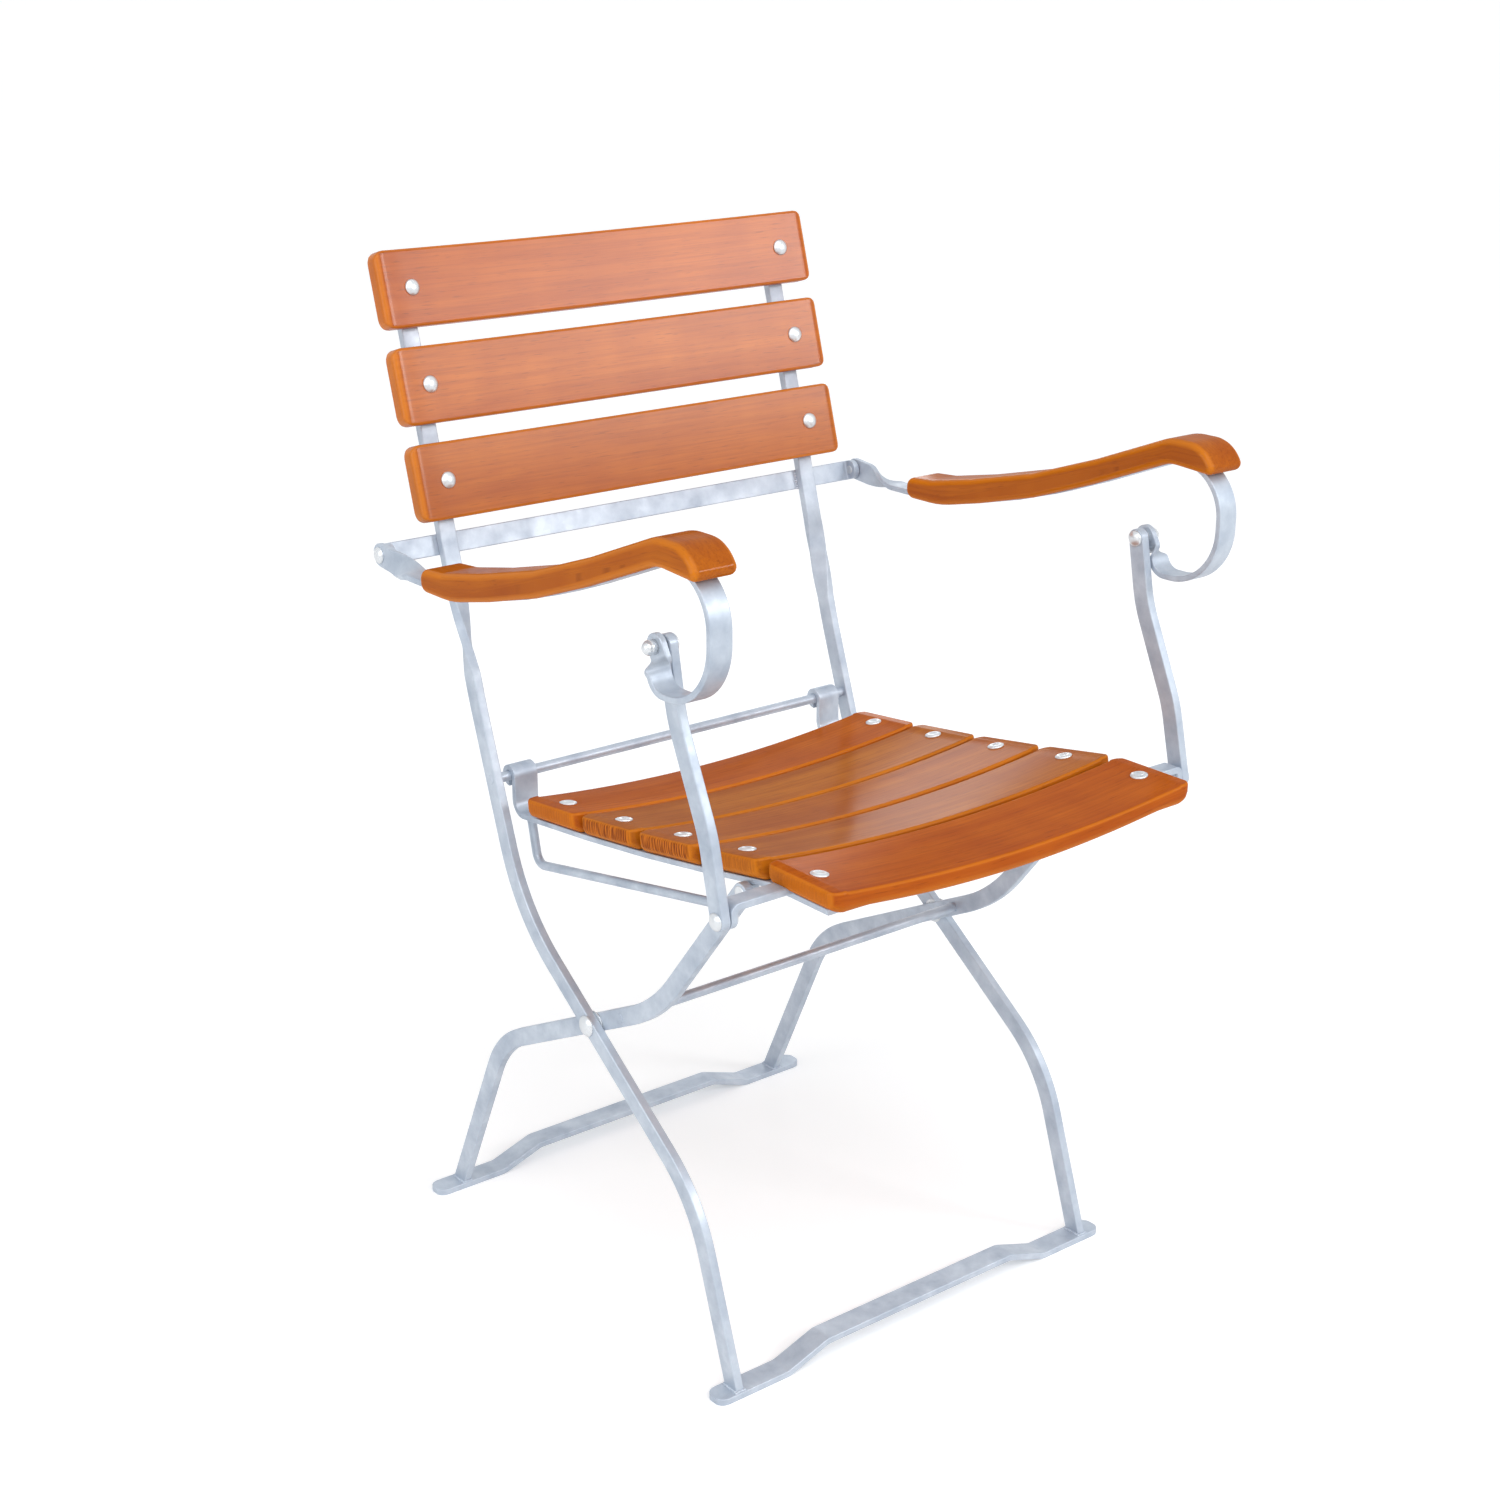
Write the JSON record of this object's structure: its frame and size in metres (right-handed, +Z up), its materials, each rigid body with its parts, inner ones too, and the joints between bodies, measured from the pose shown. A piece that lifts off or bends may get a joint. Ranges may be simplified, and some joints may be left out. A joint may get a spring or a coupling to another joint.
{
  "type": "folding garden armchair",
  "caption": "Folding garden armchair with a crossed flat-steel frame, wooden seat and back slats, scrolled arm strips with wooden armrests and raised foot bars.",
  "frame": {"origin": "middle of the chair's footprint box on the floor", "axes": "+Z up, +Y from the seat's front to the back, +X to the sitter's left"},
  "size_m": [0.564, 0.5753, 0.8794],
  "materials": {
    "varnished_wood": "semi-gloss orange-brown varnish",
    "galvanised_steel": "hot-dip galvanised, slightly mottled",
    "bright_rivets": "bright zinc plated"
  },
  "bodies": {
    "back_frame": {"long_bar_left": "galvanised_steel", "long_bar_right": "galvanised_steel", "front_foot_bar": "galvanised_steel", "back_slat_top": "varnished_wood", "back_slat_middle": "varnished_wood", "back_slat_bottom": "varnished_wood", "back_slat_rivets": "bright_rivets", "back_crossbar": "galvanised_steel", "hinge_rod": "galvanised_steel", "cross_pivot_rivets": "bright_rivets", "cross_pivot_washers": "bright_rivets", "arm_pivot_rivets": "bright_rivets"},
    "leg_frame": {"short_bar_left": "galvanised_steel", "short_bar_right": "galvanised_steel", "rear_foot_bar": "galvanised_steel", "leg_stretcher_rod": "galvanised_steel", "slide_pins": "galvanised_steel"},
    "seat_frame": {"seat_side_bar_left": "galvanised_steel", "seat_side_bar_right": "galvanised_steel", "seat_slat_1": "varnished_wood", "seat_slat_2": "varnished_wood", "seat_slat_3": "varnished_wood", "seat_slat_4": "varnished_wood", "seat_slat_5": "varnished_wood", "seat_rivets": "bright_rivets", "guide_loop_left": "galvanised_steel", "guide_loop_right": "galvanised_steel", "support_bracket_left": "galvanised_steel", "support_bracket_right": "galvanised_steel"},
    "arm_left": {"arm_strip_left": "galvanised_steel", "armrest_left": "varnished_wood", "support_top_rivet_left": "bright_rivets"},
    "arm_right": {"arm_strip_right": "galvanised_steel", "armrest_right": "varnished_wood", "support_top_rivet_right": "bright_rivets"},
    "support_left": {"arm_support_left": "galvanised_steel", "support_foot_rivet_left": "bright_rivets"},
    "support_right": {"arm_support_right": "galvanised_steel", "support_foot_rivet_right": "bright_rivets"}
  },
  "joints": [
    {"name": "seat_fold", "type": "hinge", "parent": "back_frame", "child": "seat_frame", "pos_m": [0, 0.15607, 0.44], "axis": [-1, 0, 0], "range_deg": [0, 95]},
    {"name": "leg_fold", "type": "hinge", "parent": "back_frame", "child": "leg_frame", "pos_m": [0, 0.01835, 0.25897], "axis": [-1, 0, 0], "range_deg": [0, 70.39]},
    {"name": "arm_fold_left", "type": "hinge", "parent": "back_frame", "child": "arm_left", "pos_m": [0, 0.21657, 0.637], "axis": [-1, 0, 0], "range_deg": [0, 95]},
    {"name": "support_fold_left", "type": "hinge", "parent": "arm_left", "child": "support_left", "pos_m": [0, -0.16415, 0.647], "axis": [-1, 0, 0], "range_deg": [-95, 0]},
    {"name": "arm_fold_right", "type": "hinge", "parent": "back_frame", "child": "arm_right", "pos_m": [0, 0.21657, 0.637], "axis": [-1, 0, 0], "range_deg": [0, 95]},
    {"name": "support_fold_right", "type": "hinge", "parent": "arm_right", "child": "support_right", "pos_m": [0, -0.16415, 0.647], "axis": [-1, 0, 0], "range_deg": [-95, 0]}
  ],
  "couplings": [
    {"joint": "leg_fold", "follows": "seat_fold", "ratio": 0.741},
    {"joint": "arm_fold_left", "follows": "seat_fold", "ratio": 1},
    {"joint": "support_fold_left", "follows": "seat_fold", "ratio": -1},
    {"joint": "arm_fold_right", "follows": "seat_fold", "ratio": 1},
    {"joint": "support_fold_right", "follows": "seat_fold", "ratio": -1}
  ]
}
